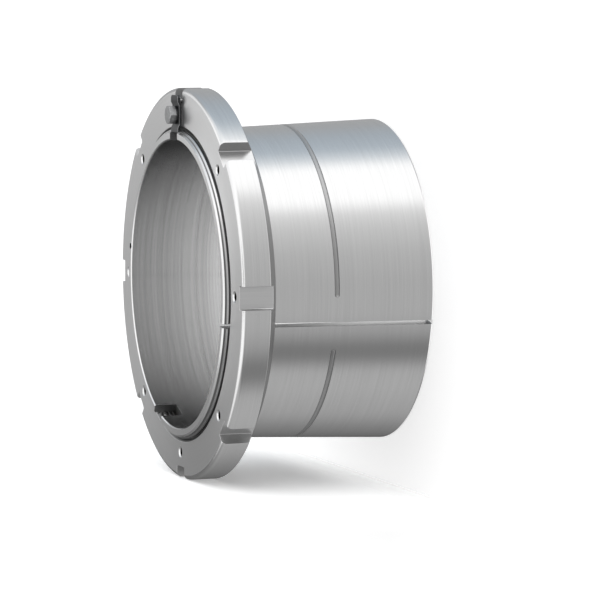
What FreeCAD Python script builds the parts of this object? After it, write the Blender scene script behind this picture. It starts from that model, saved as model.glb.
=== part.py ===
import FreeCAD, Part
import os
import re

import Sketcher

# Adapter sleeve for a large taper-bore bearing, with its lock nut, locking clip, bolt and spring washer.
# The sleeve stands on its big end: the origin is the centre of that end face and +Z runs up the sleeve's
# axis to the threaded end. Azimuths are measured about +Z from +X, where the locking clip sits.
# All sizes are millimetres and degrees.

SIZES = {
    # sleeve: thread at the small end, cylindrical bore a wall's thickness inside it, 1:12 taper outside
    "thread_diameter": 300.0,
    "sleeve_wall": 10.0,
    "sleeve_length": 208.0,
    "taper_ratio": 12.0,
    "thread_clearance": 0.1,
    "thread_overrun": 1.0,
    "cone_step": 0.6,
    "relief_width": 4.5,
    "relief_depth": 2.5,
    "bore_chamfer": 1.0,
    "nose_chamfer": 3.5,
    "big_end_chamfer": 1.5,
    # lengthwise slit and the keyways in the threaded end
    "slit_width": 4.0,
    "slit_azimuth": 258.75,
    "keyway_width": 22.0,
    "keyway_length": 22.0,
    "spare_keyway_azimuth": 157.5,
    # oil injection: port in the nose face, duct down the wall, cross drilling, groove round the taper
    "oil_groove_height": 96.5,
    "oil_groove_width": 5.0,
    "oil_groove_depth": 2.0,
    "oil_groove_land": 10.5,
    "oil_duct_diameter": 3.0,
    "oil_cross_diameter": 2.5,
    "oil_port_diameter": 5.0,
    "oil_port_depth": 12.0,
    "oil_port_inset": 3.8,
    "oil_port_azimuth": 78.75,
    # lock nut: its wall is measured outward from the thread, and the other radial sizes inward from its rim
    "nut_wall": 40.0,
    "nut_width": 40.0,
    "nut_setback": 5.5,
    "nut_edge_radius": 4.0,
    "nut_rear_inset": 24.0,
    "nut_rear_chamfer": 13.0,
    "nut_bore_chamfer": 3.0,
    "slot_count": 8.0,
    "slot_width": 22.0,
    "slot_depth": 12.0,
    "tapped_inset": 26.0,
    "tapped_diameter": 8.5,
    "tapped_depth": 24.0,
    "tapped_countersink": 11.0,
    # locking clip: a cranked strip, seated flat on the nut under the bolt
    "clip_side_clearance": 0.5,
    "clip_thickness": 3.0,
    "clip_lift": 1.5,
    "clip_ramp": 3.0,
    "clip_seat_length": 19.0,
    "clip_tongue_depth": 3.0,
    "clip_rim_setback": 7.0,
    "clip_corner": 2.5,
    "clip_hole_diameter": 11.0,
    # hexagon bolt and spring washer
    "bolt_flats": 17.0,
    "bolt_head_height": 6.4,
    "bolt_head_chamfer": 0.35,
    "bolt_diameter": 10.0,
    "bolt_length": 20.0,
    "bolt_core_clearance": 0.05,
    "bolt_point": 1.0,
    "washer_bore_clearance": 0.2,
    "washer_diameter": 17.6,
    "washer_thickness": 2.2,
    "washer_gap": 8.0,
}

# places worked out from the sizes, written in the words of the sheet
NUT_FRONT = "(sleeve_length - nut_setback)"
NUT_REAR = f"({NUT_FRONT} - nut_width)"
THREAD_START = f"({NUT_REAR} - thread_overrun)"
CONE_TOP = f"({THREAD_START} - relief_width)"
CONE_TOP_RADIUS = "(thread_diameter / 2 + cone_step)"
RELIEF_RADIUS = "(thread_diameter / 2 - relief_depth)"
BORE_RADIUS = "(thread_diameter / 2 - sleeve_wall)"
RIM_RADIUS = "(thread_diameter / 2 + nut_wall)"
BOLT_RADIUS = f"({RIM_RADIUS} - tapped_inset)"
PORT_RADIUS = f"({BORE_RADIUS} + oil_port_inset)"

CLEAR_CUT = 10.0  # how far a cutting sketch reaches past the wall that it cuts
SAME_PLACE = 1e-3  # two coordinates closer than this are one

document = FreeCAD.newDocument("AdapterSleeve")
sheet = document.addObject("Spreadsheet::Sheet", "Sizes")


def fill_sheet():
    """Write every driving size into the sheet as a plain number with its word as the alias."""
    for row, (word, value) in enumerate(SIZES.items(), start=1):
        sheet.set(f"A{row}", word)
        sheet.set(f"B{row}", str(value))
        sheet.setAlias(f"B{row}", word)
    document.recompute()


def bound(words):
    """Return the expression in which each word of the sheet points at its cell."""
    return re.sub(r"[a-z_]{4,}", lambda m: f"Sizes.{m[0]}" if m[0] in SIZES else m[0], str(words))


def tie(feature, prop, words):
    """Bind one property of a feature to an expression in the words of the sheet."""
    feature.setExpression(prop, bound(words))


def cone_radius(height):
    """Return the expression of the taper's outer radius at a height above the big end."""
    return f"({CONE_TOP_RADIUS} + ({CONE_TOP} - {height}) / (2 * taper_ratio))"


def new_body(label):
    """Start a sub-part."""
    body = document.addObject("PartDesign::Body", label)
    body.Label = label
    return body


def origin_feature(body, role):
    """Return an origin plane or axis of a body by its role."""
    return next(item for item in body.Origin.OriginFeatures if item.Role == role)


def new_sketch(body, name, role, azimuth="0", height="0", offset="0"):
    """Attach a sketch to an origin plane of its body, turned to an azimuth about Z.

    On XY_Plane height lifts the sketch; on an upright plane offset moves it along its own normal.
    """
    sketch = body.newObject("Sketcher::SketchObject", name)
    sketch.AttachmentSupport = [(origin_feature(body, role), "")]
    sketch.MapMode = "FlatFace"
    flat = role == "XY_Plane"
    turning_axis = FreeCAD.Vector(0, 0, 1) if flat else FreeCAD.Vector(0, 1, 0)
    turn = FreeCAD.Rotation(turning_axis, sketch.evalExpression(bound(azimuth)))
    lift = sketch.evalExpression(bound(height if flat else offset))
    if flat:
        place = FreeCAD.Vector(0, 0, lift)
    else:
        place = turn.multVec(FreeCAD.Vector(0, 0, lift))
    sketch.AttachmentOffset = FreeCAD.Placement(place, turn)
    if azimuth != "0":
        tie(sketch, "AttachmentOffset.Rotation.Angle", azimuth)
    if flat and height != "0":
        tie(sketch, "AttachmentOffset.Base.z", height)
    if not flat and offset != "0":
        tie(sketch, "AttachmentOffset.Base.x", f"({offset}) * sin({azimuth})")
        tie(sketch, "AttachmentOffset.Base.z", f"({offset}) * cos({azimuth})")
    return sketch


def hold_point(sketch, line, end, corner):
    """Fix one end of a line at a corner whose two coordinates are expressions."""
    for axis, words in zip(("X", "Y"), corner):
        value = sketch.evalExpression(bound(words))
        held = sketch.addConstraint(Sketcher.Constraint(f"Distance{axis}", -1, 1, line, end, value))
        sketch.renameConstraint(held, f"{axis.lower()}_{line}")
        sketch.setExpression(f"Constraints[{held}]", bound(words))


def outline(sketch, corners):
    """Draw a closed outline through corners given as pairs of expressions."""
    values = [[sketch.evalExpression(bound(words)) for words in corner] for corner in corners]
    points = [FreeCAD.Vector(x, y, 0) for x, y in values]
    for start, end in zip(points, points[1:] + points[:1]):
        sketch.addGeometry(Part.LineSegment(start, end))
    for line in range(len(points)):
        sketch.addConstraint(Sketcher.Constraint("Coincident", line, 2, (line + 1) % len(points), 1))
    for line, corner in enumerate(corners):
        hold_point(sketch, line, 1, corner)
    return sketch


def disc(sketch, x_words, y_words, diameter_words):
    """Draw a circle with its centre and diameter bound to expressions."""
    x, y, diameter = (sketch.evalExpression(bound(words)) for words in (x_words, y_words, diameter_words))
    circle = sketch.addGeometry(Part.Circle(FreeCAD.Vector(x, y, 0), FreeCAD.Vector(0, 0, 1), diameter / 2))
    for axis, words, value in (("X", x_words, x), ("Y", y_words, y)):
        held = sketch.addConstraint(Sketcher.Constraint(f"Distance{axis}", -1, 1, circle, 3, value))
        sketch.setExpression(f"Constraints[{held}]", bound(words))
    held = sketch.addConstraint(Sketcher.Constraint("Diameter", circle, diameter))
    sketch.setExpression(f"Constraints[{held}]", bound(diameter_words))
    return sketch


def band(sketch, inner, outer, width):
    """Draw a rectangle along the sketch's x axis, as wide as width and centred on that axis."""
    half = f"({width}) / 2"
    return outline(sketch, [(inner, f"-{half}"), (outer, f"-{half}"), (outer, half), (inner, half)])


def turned(body, kind, name, sketch, angle="360"):
    """Revolve a sketch about its upright axis, as a Revolution or a Groove."""
    feature = body.newObject(f"PartDesign::{kind}", name)
    feature.Profile = sketch
    feature.ReferenceAxis = (sketch, ["V_Axis"])
    tie(feature, "Angle", angle)
    return feature


def extruded(body, kind, name, sketch, length, reverse=False, midplane=False):
    """Extrude a sketch as a Pad or a Pocket of a bound length."""
    feature = body.newObject(f"PartDesign::{kind}", name)
    feature.Profile = sketch
    tie(feature, "Length", length)
    feature.Reversed = reverse
    feature.Midplane = midplane
    return feature


def drilled(body, name, sketch, diameter, depth, countersink=None):
    """Drill a blind hole with a conical point, countersunk where a diameter is given."""
    document.recompute()
    hole = body.newObject("PartDesign::Hole", name)
    hole.Profile = sketch
    hole.ThreadType = "None"
    hole.DepthType = "Dimension"
    hole.DrillPoint = "Angled"
    tie(hole, "Diameter", diameter)
    tie(hole, "Depth", depth)
    if countersink:
        hole.HoleCutType = "Countersink"
        hole.HoleCutCustomValues = True
        hole.HoleCutCountersinkAngle = 90.0
        tie(hole, "HoleCutDiameter", countersink)
    return hole


def repeated(body, name, feature, count):
    """Repeat a feature evenly round the body's Z axis."""
    document.recompute()
    pattern = body.newObject("PartDesign::PolarPattern", name)
    pattern.Originals = [feature]
    pattern.Axis = (origin_feature(body, "Z_Axis"), [""])
    pattern.Angle = 360.0
    tie(pattern, "Occurrences", count)
    body.Tip = pattern
    document.recompute()
    return pattern


def edges_where(feature, wanted):
    """Name the edges of a feature's shape that a test picks out."""
    return [f"Edge{n}" for n, edge in enumerate(feature.Shape.Edges, start=1) if wanted(edge)]


def groove_section():
    """Return the oil groove's outline: a flat floor between walls at 45 degrees, past the taper's surface."""
    surface, height = cone_radius("oil_groove_height"), "oil_groove_height"
    floor, half_floor = f"{surface} - oil_groove_depth", "(oil_groove_width / 2 - oil_groove_depth)"
    mouth, half_mouth = f"{surface} + {CLEAR_CUT}", f"(oil_groove_width / 2 + {CLEAR_CUT})"
    return [
        (floor, f"{height} - {half_floor}"),
        (mouth, f"{height} - {half_mouth}"),
        (mouth, f"{height} + {half_mouth}"),
        (floor, f"{height} + {half_floor}"),
    ]


def adapter_sleeve():
    """The slit sleeve: bore, taper, thread cylinder, keyways and the oil way."""
    body = new_body("adapter_sleeve")
    bore, thread = BORE_RADIUS, "thread_diameter / 2"
    profile = [
        (f"{bore} + bore_chamfer", "0"),
        (f"{cone_radius('0')} - big_end_chamfer", "0"),
        (cone_radius("big_end_chamfer"), "big_end_chamfer"),
        (CONE_TOP_RADIUS, CONE_TOP),
        (RELIEF_RADIUS, f"{CONE_TOP} + {CONE_TOP_RADIUS} - {RELIEF_RADIUS}"),
        (RELIEF_RADIUS, THREAD_START),
        (thread, f"{THREAD_START} + relief_depth"),
        (thread, "sleeve_length - nose_chamfer"),
        (f"{thread} - nose_chamfer", "sleeve_length"),
        (f"{bore} + bore_chamfer", "sleeve_length"),
        (bore, "sleeve_length - bore_chamfer"),
        (bore, "bore_chamfer"),
    ]
    wall = outline(new_sketch(body, "sleeve_wall", "XZ_Plane"), profile)
    turned(body, "Revolution", "sleeve_turned", wall)

    slit = new_sketch(body, "slit_plan", "XY_Plane", azimuth="slit_azimuth")
    band(slit, f"{bore} - {CLEAR_CUT}", f"{cone_radius('0')} + {CLEAR_CUT}", "slit_width")
    extruded(body, "Pocket", "slit_cut", slit, "sleeve_length", reverse=True)

    for name, azimuth in (("clip_keyway", "0"), ("spare_keyway", "spare_keyway_azimuth")):
        plan = new_sketch(body, f"{name}_plan", "XY_Plane", azimuth=azimuth, height="sleeve_length")
        band(plan, f"{bore} - {CLEAR_CUT}", f"{thread} + {CLEAR_CUT}", "keyway_width")
        extruded(body, "Pocket", f"{name}_cut", plan, "keyway_length")

    groove_start = "(slit_azimuth + oil_groove_land)"
    section = new_sketch(body, "oil_groove_section", "XZ_Plane", azimuth=groove_start)
    outline(section, groove_section())
    turned(body, "Groove", "oil_groove_turned", section, "360 - 2 * oil_groove_land")

    port = new_sketch(body, "oil_port_plan", "XY_Plane", azimuth="oil_port_azimuth", height="sleeve_length")
    disc(port, PORT_RADIUS, "0", "oil_port_diameter")
    drilled(body, "oil_port", port, "oil_port_diameter", "oil_port_depth")
    duct = new_sketch(body, "oil_duct_plan", "XY_Plane", azimuth="oil_port_azimuth", height="sleeve_length")
    disc(duct, PORT_RADIUS, "0", "oil_duct_diameter")
    duct_depth = "sleeve_length - oil_groove_height + oil_cross_diameter"
    drilled(body, "oil_duct", duct, "oil_duct_diameter", duct_depth)
    cross = new_sketch(body, "oil_cross_section", "YZ_Plane", azimuth="oil_port_azimuth", offset=PORT_RADIUS)
    disc(cross, "0", "oil_groove_height", "oil_cross_diameter")
    cross_length = f"{cone_radius('oil_groove_height')} - {PORT_RADIUS}"
    body.Tip = extruded(body, "Pocket", "oil_cross_drilling", cross, cross_length, reverse=True)
    return body


def lock_nut():
    """The lock nut: rounded front edge, conical rear edge, spanner slots and tapped holes."""
    body = new_body("lock_nut")
    bore = "(thread_diameter / 2 + thread_clearance)"
    rim = RIM_RADIUS
    profile = [
        (f"{bore} + nut_bore_chamfer", NUT_REAR),
        (f"{rim} - nut_rear_inset", NUT_REAR),
        (rim, f"{NUT_REAR} + nut_rear_chamfer"),
        *rounded_edge(rim, NUT_FRONT, "nut_edge_radius"),
        (f"{bore} + nut_bore_chamfer", NUT_FRONT),
        (bore, f"{NUT_FRONT} - nut_bore_chamfer"),
        (bore, f"{NUT_REAR} + nut_bore_chamfer"),
    ]
    wall = outline(new_sketch(body, "nut_wall", "XZ_Plane"), profile)
    turned(body, "Revolution", "nut_turned", wall)

    slot = new_sketch(body, "spanner_slot_plan", "XY_Plane", height=NUT_FRONT)
    band(slot, f"{rim} - slot_depth", f"{rim} + {CLEAR_CUT}", "slot_width")
    slot_cut = extruded(body, "Pocket", "spanner_slot", slot, "nut_width")
    repeated(body, "spanner_slots", slot_cut, "slot_count")

    tapped = new_sketch(body, "tapped_hole_plan", "XY_Plane", height=NUT_FRONT)
    disc(tapped, BOLT_RADIUS, "0", "tapped_diameter")
    hole = drilled(body, "tapped_hole", tapped, "tapped_diameter", "tapped_depth", "tapped_countersink")
    repeated(body, "tapped_holes", hole, "slot_count")
    return body


def rounded_edge(radius, height, rounding):
    """Corners of an outer upper edge rounded in three flats, so that a slotted rim stays light."""
    return [
        (f"{radius} - {rounding} * (1 - cos({turn} deg))", f"{height} - {rounding} * (1 - sin({turn} deg))")
        for turn in (0, 30, 60, 90)
    ]


def locking_clip():
    """The clip: its tongue drops into the sleeve's keyway and its seat lies on the nut."""
    body = new_body("locking_clip")
    width = "(keyway_width - 2 * clip_side_clearance)"
    tongue = "(thread_diameter / 2 - clip_tongue_depth)"
    tip = f"({RIM_RADIUS} - clip_rim_setback)"
    inner_seat = f"({BOLT_RADIUS} - clip_seat_length / 2)"
    outer_seat = f"({BOLT_RADIUS} + clip_seat_length / 2)"
    under = [
        (tongue, f"{NUT_FRONT} + clip_lift"),
        (f"{inner_seat} - clip_ramp", f"{NUT_FRONT} + clip_lift"),
        (inner_seat, NUT_FRONT),
        (outer_seat, NUT_FRONT),
        (f"{outer_seat} + clip_ramp", f"{NUT_FRONT} + clip_lift"),
        (tip, f"{NUT_FRONT} + clip_lift"),
    ]
    over = [(across, f"{height} + clip_thickness") for across, height in reversed(under)]
    side = outline(new_sketch(body, "clip_side", "XZ_Plane"), under + over)
    strip = extruded(body, "Pad", "clip_strip", side, width, midplane=True)
    document.recompute()

    corners = body.newObject("PartDesign::Chamfer", "clip_corners")
    far = sheet.evalExpression(tip)
    corners.Base = (strip, edges_where(strip, lambda edge: is_corner(edge, far)))
    tie(corners, "Size", "clip_corner")

    plan = new_sketch(body, "clip_hole_plan", "XY_Plane", height=f"{NUT_FRONT} + clip_thickness")
    disc(plan, BOLT_RADIUS, "0", "clip_hole_diameter")
    body.Tip = extruded(body, "Pocket", "clip_hole", plan, "clip_thickness")
    return body


def is_corner(edge, far):
    """Tell whether an edge is an upright corner at the clip's outer end."""
    box = edge.BoundBox
    upright = box.YLength < SAME_PLACE and box.XLength < SAME_PLACE
    return upright and abs(box.XMax - far) < SAME_PLACE


def clip_bolt():
    """The hexagon bolt: two flats face the nut's axis and rim, and its core enters the tapped hole."""
    body = new_body("clip_bolt")
    half_flats, half_corners = "(bolt_flats / 2)", "(bolt_flats / 2 / cos(30))"
    hexagon = [
        (f"{half_flats}", f"-{half_corners} / 2"),
        (f"{half_flats}", f"{half_corners} / 2"),
        ("0", half_corners),
        (f"-{half_flats}", f"{half_corners} / 2"),
        (f"-{half_flats}", f"-{half_corners} / 2"),
        ("0", f"-{half_corners}"),
    ]
    head = outline(new_sketch(body, "head_plan", "XY_Plane"), hexagon)
    extruded(body, "Pad", "head", head, "bolt_head_height")

    reach = f"({half_corners} + bolt_point)"
    facet = f"({half_flats} - bolt_head_chamfer)"
    corner_cut = [
        (facet, "bolt_head_height"),
        (reach, "bolt_head_height"),
        (reach, f"bolt_head_height - ({reach} - {facet}) * tan(30)"),
    ]
    trim = outline(new_sketch(body, "head_chamfer_section", "XZ_Plane"), corner_cut)
    turned(body, "Groove", "head_chamfer", trim)

    core = "(tapped_diameter / 2 - bolt_core_clearance)"
    grip = "(washer_thickness + clip_thickness)"
    shank = [
        ("0", "0"),
        ("bolt_diameter / 2", "0"),
        ("bolt_diameter / 2", f"-{grip} + bolt_diameter / 2 - {core}"),
        (core, f"-{grip}"),
        (core, "-bolt_length + bolt_point"),
        (f"{core} - bolt_point", "-bolt_length"),
        ("0", "-bolt_length"),
    ]
    shaft = outline(new_sketch(body, "shank_section", "XZ_Plane"), shank)
    body.Tip = turned(body, "Revolution", "shank", shaft)
    seat(body, f"{NUT_FRONT} + {grip}")
    return body


def spring_washer():
    """The spring washer, pressed flat between the bolt's head and the clip."""
    body = new_body("spring_washer")
    inner = "(bolt_diameter / 2 + washer_bore_clearance)"
    outer = "(washer_diameter / 2)"
    ring = [(inner, "0"), (outer, "0"), (outer, "washer_thickness"), (inner, "washer_thickness")]
    section = outline(new_sketch(body, "washer_section", "XZ_Plane", azimuth="washer_gap"), ring)
    body.Tip = turned(body, "Revolution", "washer_ring", section, "360 - washer_gap")
    seat(body, f"{NUT_FRONT} + clip_thickness")
    return body


def seat(body, height):
    """Place a body that is drawn about its own axis over the clip's tapped hole."""
    body.Placement = FreeCAD.Placement()
    tie(body, "Placement.Base.x", BOLT_RADIUS)
    tie(body, "Placement.Base.z", height)


def check(body):
    """Stop unless a sub-part is one valid, closed solid."""
    shape = body.Shape
    if shape.isNull() or not shape.isValid() or len(shape.Solids) != 1:
        raise RuntimeError(f"{body.Label} is not one valid solid")


def main():
    """Build the sub-parts, check the document and write one file for each of them."""
    fill_sheet()
    bodies = [make() for make in (adapter_sleeve, lock_nut, locking_clip, clip_bolt, spring_washer)]
    document.recompute()
    for item in document.Objects:
        if {"Invalid", "Error"} & set(item.State):
            raise RuntimeError(f"{item.Label} failed: {item.State}")
    for body in bodies:
        check(body)
    os.makedirs("parts", exist_ok=True)
    for body in bodies:
        body.Shape.exportStep(os.path.join("parts", f"{body.Label}.step"))
        print(body.Label, round(body.Shape.Volume, 1), len(body.Shape.Faces), body.Shape.BoundBox)


main()
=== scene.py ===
"""Looks of a bearing adapter sleeve with its lock nut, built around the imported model.

The sleeve stands on its big end: +Z runs up its axis to the threaded end and +X carries the locking clip.
Sizes are written in millimetres and become metres as each mesh is made. Those of round shapes, such as bore,
crest, rim and port, are radii. Angles are in degrees unless a comment says otherwise.
"""

from __future__ import annotations

import logging
import math
from collections.abc import Callable
from dataclasses import dataclass
from enum import Enum, IntEnum

import bmesh
import bpy
from mathutils import Matrix, Vector

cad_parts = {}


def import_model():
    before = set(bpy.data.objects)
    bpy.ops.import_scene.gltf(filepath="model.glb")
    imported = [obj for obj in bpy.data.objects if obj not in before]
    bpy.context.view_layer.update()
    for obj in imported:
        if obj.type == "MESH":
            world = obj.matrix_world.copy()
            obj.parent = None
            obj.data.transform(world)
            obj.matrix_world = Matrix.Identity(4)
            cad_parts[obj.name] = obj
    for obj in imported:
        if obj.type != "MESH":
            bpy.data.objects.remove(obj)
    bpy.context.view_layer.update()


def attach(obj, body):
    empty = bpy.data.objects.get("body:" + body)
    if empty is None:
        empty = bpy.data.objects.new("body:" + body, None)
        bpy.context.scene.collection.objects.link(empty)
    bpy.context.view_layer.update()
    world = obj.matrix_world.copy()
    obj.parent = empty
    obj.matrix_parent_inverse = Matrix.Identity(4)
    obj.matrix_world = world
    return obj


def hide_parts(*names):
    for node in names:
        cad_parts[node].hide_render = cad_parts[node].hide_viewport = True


# A millimetre, in Blender's metres
MM = 0.001

# Faces round a turned ring, faces round a drilled hole, and turns of thread drawn down a tapped one
STEPS = 240
HOLE_SIDES = 24
HOLE_TURNS = 8

# How far a block reaches past what it cuts, sideways and at its ends, and how far up a drill starts
PAST_SIDE = 10.0
PAST_END = 5.0
DRILL_START = 1.0

# How deep a thread's ridge is sunk into its wall
SUNK = 0.5

# Points nearer than the first are merged, and points nearer than the second are in line, in metres
MERGE = 1e-7
IN_LINE = 1e-6

# A face is level where its normal points up or down by more than this share
LEVEL = 0.99

# The radius at which a turned line is as long as its finish says
LINE_RADIUS = 150.0

WHITE = "#ffffff"

log = logging.getLogger("adapter_sleeve")

Outline = list[tuple[float, float]]


class Lay(Enum):
    """Which way a tool left its fine lines on a surface."""

    TURNED = "rings about the axis"
    MILLED = "lines along the axis"


class SleeveFace(IntEnum):
    """The order of the materials on the sleeve's turned ring."""

    OUTSIDE = 0
    BORE = 1
    THREAD = 2
    END = 3


class NutFace(IntEnum):
    """The order of the materials on the nut's turned ring."""

    RIM = 0
    FRONT = 1
    CUT = 2


# Colours and nodes


def linear(colour: str) -> tuple[float, float, float, float]:
    """Turn an sRGB hex colour into the linear RGBA that a socket takes.

    Args:
        colour: the colour, such as "#c4c8cc".

    Returns:
        Red, green, blue and an alpha of 1.
    """
    shares = (int(colour[n : n + 2], 16) / 255 for n in (1, 3, 5))
    red, green, blue = (s / 12.92 if s <= 0.04045 else ((s + 0.055) / 1.055) ** 2.4 for s in shares)
    return red, green, blue, 1.0


def add_node(
    tree: bpy.types.NodeTree,
    kind: str,
    settings: dict[str | int, object] | None = None,
    links: dict[str | int, bpy.types.NodeSocket] | None = None,
) -> bpy.types.Node:
    """Add one node with its settings and links.

    Args:
        tree: the node tree.
        kind: the node's type without its ShaderNode prefix.
        settings: values by the name of an attribute or input; "stops" fills a colour ramp.
        links: for each input, the output that feeds it.

    Returns:
        The new node.
    """
    node = tree.nodes.new(f"ShaderNode{kind}")
    for key, value in (settings or {}).items():
        if key == "stops":
            stops = node.color_ramp.elements
            while len(stops) < len(value):
                stops.new(1.0)
            for stop, (position, colour) in zip(stops, value):
                stop.position, stop.color = position, colour
        elif isinstance(key, str) and hasattr(node, key):
            setattr(node, key, value)
        else:
            node.inputs[key].default_value = value
    for key, socket in (links or {}).items():
        tree.links.new(socket, node.inputs[key])
    return node


def new_material(name: str) -> tuple[bpy.types.Material, bpy.types.NodeTree]:
    """Make a material whose node tree is empty.

    Args:
        name: the material's name.

    Returns:
        The material and its tree.
    """
    material = bpy.data.materials.new(name)
    material.use_nodes = True
    material.node_tree.nodes.clear()
    return material, material.node_tree


def soft_mask(
    tree: bpy.types.NodeTree, *edges: tuple[bpy.types.NodeSocket, float, float]
) -> bpy.types.NodeSocket:
    """Multiply soft edges into one mask.

    Args:
        tree: the node tree.
        edges: for each edge a value, where the mask is still 0 and where it reaches 1.

    Returns:
        A mask of 1 where every value is past its edge, and of 0 where one isn't there yet.
    """
    mask = None
    for value, none, full in edges:
        edge = add_node(
            tree, "MapRange", {"interpolation_type": "SMOOTHSTEP", "From Min": none, "From Max": full},
            {"Value": value},
        ).outputs["Result"]
        if mask is None:
            mask = edge
        else:
            mask = add_node(tree, "Math", {"operation": "MULTIPLY"}, {0: mask, 1: edge}).outputs[0]
    return mask


# Shaping


def make_object(name: str, mesh: bmesh.types.BMesh, *materials: bpy.types.Material) -> bpy.types.Object:
    """Turn a bmesh into a linked object at the origin and free the bmesh.

    Args:
        name: the object's name.
        mesh: the shape, in metres.
        materials: what its faces' material indices stand for.

    Returns:
        The new object.
    """
    data = bpy.data.meshes.new(name)
    mesh.to_mesh(data)
    mesh.free()
    for material in materials:
        data.materials.append(material)
    piece = bpy.data.objects.new(name, data)
    bpy.context.scene.collection.objects.link(piece)
    return piece


def apply_modifiers(piece: bpy.types.Object) -> None:
    """Bake a piece's modifiers into its mesh.

    Args:
        piece: the piece, which has no modifier left.
    """
    depsgraph = bpy.context.evaluated_depsgraph_get()
    finished = bpy.data.meshes.new_from_object(piece.evaluated_get(depsgraph))
    rough = piece.data
    piece.modifiers.clear()
    piece.data = finished
    bpy.data.meshes.remove(rough)


def remove_object(held: bpy.types.Object) -> None:
    """Remove an object with its mesh.

    Args:
        held: the object.
    """
    shape = held.data
    bpy.data.objects.remove(held)
    bpy.data.meshes.remove(shape)


def merge_into(whole: bmesh.types.BMesh, part: bmesh.types.BMesh) -> None:
    """Add one bmesh to another and free it.

    Args:
        whole: the bmesh that grows.
        part: the bmesh that is added.
    """
    held = bpy.data.meshes.new("part")
    part.to_mesh(held)
    part.free()
    whole.from_mesh(held)
    bpy.data.meshes.remove(held)


def turn_about_z(mesh: bmesh.types.BMesh, azimuth: float) -> None:
    """Turn a whole bmesh about Z by an angle in degrees."""
    turn = Matrix.Rotation(math.radians(azimuth), 3, "Z")
    bmesh.ops.rotate(mesh, verts=mesh.verts, cent=(0, 0, 0), matrix=turn)


def spin(
    mesh: bmesh.types.BMesh,
    parts: list[bmesh.types.BMVert | bmesh.types.BMEdge | bmesh.types.BMFace],
    steps: int = STEPS,
    angle: float = math.tau,
    rise: float = 0.0,
    closed: bool = True,
) -> None:
    """Spin parts of a bmesh about Z.

    Args:
        mesh: the bmesh.
        parts: what is spun.
        steps: the number of steps.
        angle: how far it goes round, in radians.
        rise: how far it rises at each step, in metres.
        closed: whether its end meets its start.
    """
    bmesh.ops.spin(
        mesh, geom=parts, cent=(0, 0, 0), axis=(0, 0, 1), dvec=(0, 0, rise), angle=angle, steps=steps,
        use_merge=closed, use_normal_flip=False, use_duplicate=False,
    )


def spin_ring(outline: Outline, start: float = 0.0) -> bmesh.types.BMesh:
    """Spin a closed outline about Z.

    Args:
        outline: its corners as (radius, height).
        start: the azimuth of the first ring of points, in degrees.

    Returns:
        A closed ring.
    """
    ring = bmesh.new()
    corners = [ring.verts.new((radius * MM, 0, height * MM)) for radius, height in outline]
    for corner, following in zip(corners, corners[1:] + corners[:1]):
        ring.edges.new((corner, following))
    turn_about_z(ring, start)
    spin(ring, ring.verts[:] + ring.edges[:])
    bmesh.ops.remove_doubles(ring, verts=ring.verts, dist=MERGE)
    bmesh.ops.recalc_face_normals(ring, faces=ring.faces)
    return ring


def add_block(
    cutter: bmesh.types.BMesh,
    inner: float,
    outer: float,
    width: float,
    low: float,
    high: float,
    azimuth: float,
    corner: float = 0.0,
) -> None:
    """Add a straight block to a cutter, with material 0 on its inner end and 1 on its sides.

    Args:
        cutter: the cutter that gets it.
        inner: where it starts, outward from the axis.
        outer: where it ends, outward from the axis.
        width: its width across that direction.
        low: its lowest height.
        high: its highest height.
        azimuth: the direction that it points in, in degrees.
        corner: the radius of its two inner upright corners.
    """
    middle = Vector(((inner + outer) / 2, 0, (low + high) / 2)) * MM
    size = ((outer - inner) * MM, width * MM, (high - low) * MM, 1)
    block = bmesh.new()
    bmesh.ops.create_cube(block, size=1, matrix=Matrix.Translation(middle) @ Matrix.Diagonal(size))
    for face in block.faces:
        face.material_index = 0 if face.normal.x < -0.5 else 1
    if corner:
        inside = [edge for edge in block.edges if all(v.co.x < middle.x for v in edge.verts)]
        upright = [edge for edge in inside if abs(edge.verts[0].co.y - edge.verts[1].co.y) < IN_LINE]
        bmesh.ops.bevel(
            block, geom=upright, offset=corner * MM, offset_type="OFFSET", segments=4, profile=0.5,
            affect="EDGES", material=-1,
        )
    turn_about_z(block, azimuth)
    merge_into(cutter, block)


def tapped(start: Outline, radius: float, depth: float, pitch: float, lip: float) -> Outline:
    """Carry a drill's outline down through the turns of a tapped thread.

    Args:
        start: the outline down to where the thread starts.
        radius: the radius of the thread's crests.
        depth: how deep its grooves are.
        pitch: the height of one turn.
        lip: how far down its first crest lies.

    Returns:
        The outline with the turns added.
    """
    outline, drop = list(start), lip
    for _ in range(HOLE_TURNS):
        crest = outline[-1][1] - drop
        outline += [(radius, crest), (radius + depth, crest - pitch / 2)]
        drop = pitch / 2
    return outline


def add_drill(cutter: bmesh.types.BMesh, outline: Outline, radius: float, azimuth: float) -> None:
    """Add a round drill, spun about its own upright axis, to a cutter.

    Args:
        cutter: the cutter that gets it.
        outline: its corners from the top of its axis to the foot, as (radius, height).
        radius: how far its axis stands from Z.
        azimuth: the azimuth of its axis, in degrees.
    """
    drill = bmesh.new()
    corners = [drill.verts.new((across * MM, 0, height * MM)) for across, height in outline]
    edges = [drill.edges.new(pair) for pair in zip(corners, corners[1:])]
    spin(drill, corners + edges, HOLE_SIDES)
    bmesh.ops.remove_doubles(drill, verts=drill.verts, dist=MERGE)
    bmesh.ops.recalc_face_normals(drill, faces=drill.faces)
    turn = Matrix.Rotation(math.radians(azimuth), 4, "Z")
    bmesh.ops.transform(drill, verts=drill.verts, matrix=turn @ Matrix.Translation((radius * MM, 0, 0)))
    merge_into(cutter, drill)


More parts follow.
